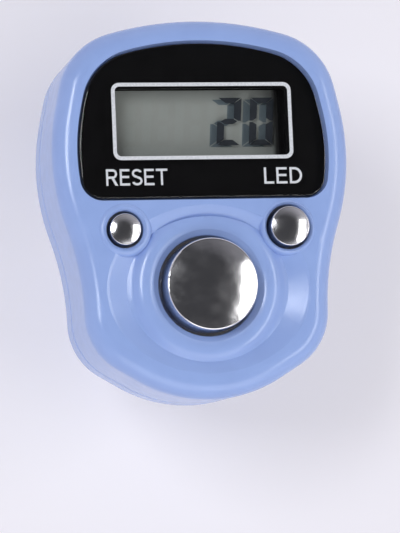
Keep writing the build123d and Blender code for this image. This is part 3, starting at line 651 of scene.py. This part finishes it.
def ribbon(length, eyelets, step=0.2 * MM, across=44):
    """Flat ribbon along X: round tail, beaded edges, thicker round each eyelet."""
    bm = bmesh.new()
    count = round(length / step)
    rows = []
    for i in range(count + 1):
        s = STRAP_THINNEST + (length - STRAP_THINNEST) * i / count
        half = STRAP_HALF_WIDTH
        if s < STRAP_TAIL:
            half -= STRAP_TAIL - math.sqrt(STRAP_TAIL ** 2 - (STRAP_TAIL - s) ** 2)
        top = []
        bottom = []
        for k in range(across + 1):
            y = -half * math.cos(math.pi * k / across)
            edge = min(half - abs(y), s)
            rise = bead(BEAD_OUTER, BEAD_INNER, edge)
            for spot in eyelets:
                rise = max(rise, bead(EYELET_FLAT, EYELET_REACH, math.hypot(s - spot, y)))
            reach = min(1.0, edge / EDGE_ROUND)
            rise = max(rise * math.sqrt(1 - (1 - reach) ** 2), STRAP_THINNEST)
            top.append(bm.verts.new((s, y, rise)))
            bottom.append(bm.verts.new((s, y, -rise)))
        rows.append(top + bottom[::-1])
    for first, second in zip(rows, rows[1:]):
        for k in range(len(first)):
            j = (k + 1) % len(first)
            bm.faces.new((first[k], first[j], second[j], second[k]))
    bm.faces.new(rows[0])
    bm.faces.new(rows[-1][::-1])
    return mesh_of(bm, "ribbon")


def bend_along(mesh, place):
    """Lays a flat ribbon along a line."""
    for v in mesh.vertices:
        spot, out = place(v.co.x)
        v.co = spot + out * v.co.z + Vector((0, v.co.y, 0))


def add_head(bm, x):
    """Wide head that holds a strap half inside the cover."""
    size = Matrix.Diagonal((HEAD_LENGTH, HEAD_WIDTH, HEAD_HEIGHT, 1))
    place = Matrix.Translation((x, 0, HEAD_Z + HEAD_HEIGHT / 2))
    made = bmesh.ops.create_cube(bm, size=1, matrix=place @ size)
    edges = {e for v in made["verts"] for e in v.link_edges}
    bmesh.ops.bevel(bm, geom=list(edges), offset=HEAD_ROUND, segments=3, affect="EDGES", profile=0.5)


def strap_half(name, band, head_x):
    """Strap half from its bent ribbon and the head on its leg."""
    bm = bmesh.new()
    bm.from_mesh(band)
    head = bmesh.new()
    add_head(head, head_x)
    bm.from_mesh(mesh_of(head, "head"))
    return piece(name, mesh_of(bm, name), strap_clear, True)


loop_length = (TAIL_Z - BEND_Z) + math.pi * BEND + (RIGHT_LEG_X - LEFT_LEG_X - 2 * BEND) + (HEAD_Z - BEND_Z)
holes = [TAIL_Z - STUD_Z + i * HOLE_PITCH for i in range(HOLE_COUNT)]
long_ribbon = ribbon(loop_length, holes)
bm = bmesh.new()
for spot in holes:
    bmesh.ops.create_cone(
        bm, cap_ends=True, segments=40, radius1=EYELET_RADIUS, radius2=EYELET_RADIUS,
        depth=HOLE_TOOL_DEPTH, matrix=Matrix.Translation((spot, 0, 0)),
    )
long_ribbon = cut(long_ribbon, mesh_of(bm, "hole_tools"), "DIFFERENCE")
bend_along(long_ribbon, loop_place)
long_strap = strap_half("strap_with_holes", long_ribbon, LEFT_LEG_X)
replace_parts(long_strap, "strap_hole_half")

short_ribbon = ribbon(HEAD_Z - STUD_LEG_Z, [STUD_Z - STUD_LEG_Z])
bend_along(short_ribbon, leg_place)
bm = bmesh.new()
stand = Matrix.Translation((STUD_LEG_X, 0, STUD_Z)) @ Matrix.Rotation(math.pi / 2, 4, "Y")
lathe(bm, [(radius * MM, height * MM) for radius, height in STUD_PROFILE], stand)
short_ribbon = cut(short_ribbon, mesh_of(bm, "stud"), "UNION")
short_strap = strap_half("strap_with_stud", short_ribbon, STUD_LEG_X)
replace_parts(short_strap, "strap_stud_half")

# Case screws with a cross recess, from the radius and the height above the seat in millimetres

SCREW_PROFILE = [
    (0, -0.9), (0.6, -0.9), (1.0, -0.86), (1.3, -0.72), (1.46, -0.5), (1.5, -0.25), (1.5, 0), (0.75, 0),
    (0.75, 4.9), (0.3, 5.5), (0, 5.5),
]
RECESS_LENGTH = 1.7 * MM
RECESS_WIDTH = 0.32 * MM
RECESS_HEIGHT = 0.9 * MM
RECESS_LEVEL = -0.8 * MM
RECESS_TURN = 20
bm = bmesh.new()
recess = bmesh.new()
arm_size = Matrix.Diagonal((RECESS_LENGTH, RECESS_WIDTH, RECESS_HEIGHT, 1))
for side in (-1, 1):
    stand = Matrix.Translation((0, side * CASE_SCREW_Y, CASE_SCREW_SEAT))
    lathe(bm, [(radius * MM, height * MM) for radius, height in SCREW_PROFILE], stand)
    for turn in (0, 90):
        swing = Matrix.Rotation(math.radians(turn + RECESS_TURN * side), 4, "Z")
        arm = stand @ swing @ Matrix.Translation((0, 0, RECESS_LEVEL))
        bmesh.ops.create_cube(recess, size=1, matrix=arm @ arm_size)
screws = cut(mesh_of(bm, "screws"), mesh_of(recess, "recess"), "DIFFERENCE", crossing=True)
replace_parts(piece("cross_screws", screws, screw_steel), "case_screws")

# Floor, light and camera

FLOOR_REACH = 2
FLOOR_BOTTOM = -0.01
FLOOR_TOP = -0.0001
FLOOR_LIFT = 0.13
FADE_START = 0.018
FADE_END = 0.07
BACKGROUND = (0.81, 0.79, 0.87)
SKY_DARK = (0.055, 0.055, 0.06)
SKY_PALE_UNTIL = 0.3
SKY_DARK_FROM = 0.88
LAMP_AIM = Vector((0, 0, 0.025))
CAMERA_RIGHT = Vector((0.9766, -0.0421, 0.2108))
CAMERA_UP = Vector((0.0199, 0.9941, 0.1062))
CAMERA_BACK = Vector((-0.214, -0.0995, 0.9717))
CAMERA_DISTANCE = 0.26
CAMERA_LENS = 176.4
CAMERA_NEAR = 0.01
AIM_LEFT = 0.664 * MM
AIM_DOWN = 5.923 * MM


def math_node(tree, operation, first, second):
    """Math node fed by a socket and by a second socket or a number."""
    node = tree.nodes.new("ShaderNodeMath")
    node.operation = operation
    tree.links.new(first, node.inputs[0])
    if isinstance(second, (int, float)):
        node.inputs[1].default_value = second
    else:
        tree.links.new(second, node.inputs[1])
    return node


def fade_floor(tree):
    """Lifts the floor for seen rays only, and fades it into the background away from the counter."""
    path = tree.nodes.new("ShaderNodeLightPath").outputs
    seen = math_node(tree, "ADD", path["Is Camera Ray"], path["Is Glossy Ray"]).outputs["Value"]
    seen = math_node(tree, "ADD", seen, path["Is Transmission Ray"]).outputs["Value"]
    lift = math_node(tree, "MULTIPLY", seen, FLOOR_LIFT)
    glow = tree.nodes.new("ShaderNodeEmission")
    tree.links.new(lift.outputs["Value"], glow.inputs["Strength"])
    lifted = tree.nodes.new("ShaderNodeAddShader")
    tree.links.new(tree.nodes["Principled BSDF"].outputs["BSDF"], lifted.inputs[0])
    tree.links.new(glow.outputs["Emission"], lifted.inputs[1])
    place = tree.nodes.new("ShaderNodeTexCoord")
    reach = tree.nodes.new("ShaderNodeVectorMath")
    reach.operation = "LENGTH"
    tree.links.new(place.outputs["Object"], reach.inputs[0])
    far = tree.nodes.new("ShaderNodeMapRange")
    far.interpolation_type = "SMOOTHSTEP"
    far.inputs["From Min"].default_value = FADE_START
    far.inputs["From Max"].default_value = FADE_END
    tree.links.new(reach.outputs["Value"], far.inputs["Value"])
    away = math_node(tree, "MULTIPLY", far.outputs["Result"], seen)
    away.use_clamp = True
    backdrop = tree.nodes.new("ShaderNodeEmission")
    backdrop.inputs["Color"].default_value = (*BACKGROUND, 1)
    blend = tree.nodes.new("ShaderNodeMixShader")
    tree.links.new(away.outputs["Value"], blend.inputs["Fac"])
    tree.links.new(lifted.outputs["Shader"], blend.inputs[1])
    tree.links.new(backdrop.outputs["Emission"], blend.inputs[2])
    tree.links.new(blend.outputs["Shader"], tree.nodes["Material Output"].inputs["Surface"])


def softbox(name, place, size_x, size_y, power, colour):
    """Rectangular lamp that faces the counter."""
    lamp = bpy.data.lights.new(name, "AREA")
    lamp.shape = "RECTANGLE"
    lamp.size = size_x
    lamp.size_y = size_y
    lamp.energy = power
    lamp.color = colour
    made = bpy.data.objects.new(name, lamp)
    made.location = place
    made.rotation_euler = (LAMP_AIM - Vector(place)).to_track_quat("-Z", "Y").to_euler()
    scene.collection.objects.link(made)


floor_pale = surface("floor_pale", (0.75, 0.735, 0.78), (0.77, 0.755, 0.80), (0.55, 0.7), 300, 1e-5, cloud=12)
fade_floor(floor_pale.node_tree)
bm = bmesh.new()
floor_corners = [(x * FLOOR_REACH, y * FLOOR_REACH) for x, y in ((-1, -1), (1, -1), (1, 1), (-1, 1))]
add_plate(bm, floor_corners, FLOOR_BOTTOM, FLOOR_TOP)
floor = bpy.data.objects.new("floor", mesh_of(bm, "floor"))
floor.data.materials.append(floor_pale)
scene.collection.objects.link(floor)

softbox("window_right", (0.35, -0.05, 0.442), 0.44, 0.135, 0.9, (1.0, 0.99, 0.97))
softbox("window_left", (-0.315, 0.125, 0.53), 0.25, 0.14, 1.4, (0.97, 0.98, 1.0))
softbox("fill_front", (0.05, -0.5, 0.42), 0.7, 0.4, 1.35, (1.0, 0.99, 0.98))

world = bpy.data.worlds.new("studio")
scene.world = world
world.use_nodes = True
tree = world.node_tree
place = tree.nodes.new("ShaderNodeTexCoord")
split = tree.nodes.new("ShaderNodeSeparateXYZ")
ramp = tree.nodes.new("ShaderNodeValToRGB")
ramp.color_ramp.elements[0].position = SKY_PALE_UNTIL
ramp.color_ramp.elements[0].color = (*BACKGROUND, 1)
ramp.color_ramp.elements[1].position = SKY_DARK_FROM
ramp.color_ramp.elements[1].color = (*SKY_DARK, 1)
tree.links.new(place.outputs["Generated"], split.inputs["Vector"])
tree.links.new(split.outputs["Z"], ramp.inputs["Fac"])
tree.links.new(ramp.outputs["Color"], tree.nodes["Background"].inputs["Color"])

aim = Vector((0, 0, FACE_TOP)) - CAMERA_RIGHT * AIM_LEFT - CAMERA_UP * AIM_DOWN
camera = bpy.data.objects.new("camera", bpy.data.cameras.new("camera"))
camera.data.lens = CAMERA_LENS
camera.data.clip_start = CAMERA_NEAR
axes = Matrix((CAMERA_RIGHT, CAMERA_UP, CAMERA_BACK)).transposed().to_4x4()
camera.matrix_world = Matrix.Translation(aim + CAMERA_BACK * CAMERA_DISTANCE) @ axes
scene.collection.objects.link(camera)
scene.camera = camera

scene.view_settings.view_transform = "Standard"
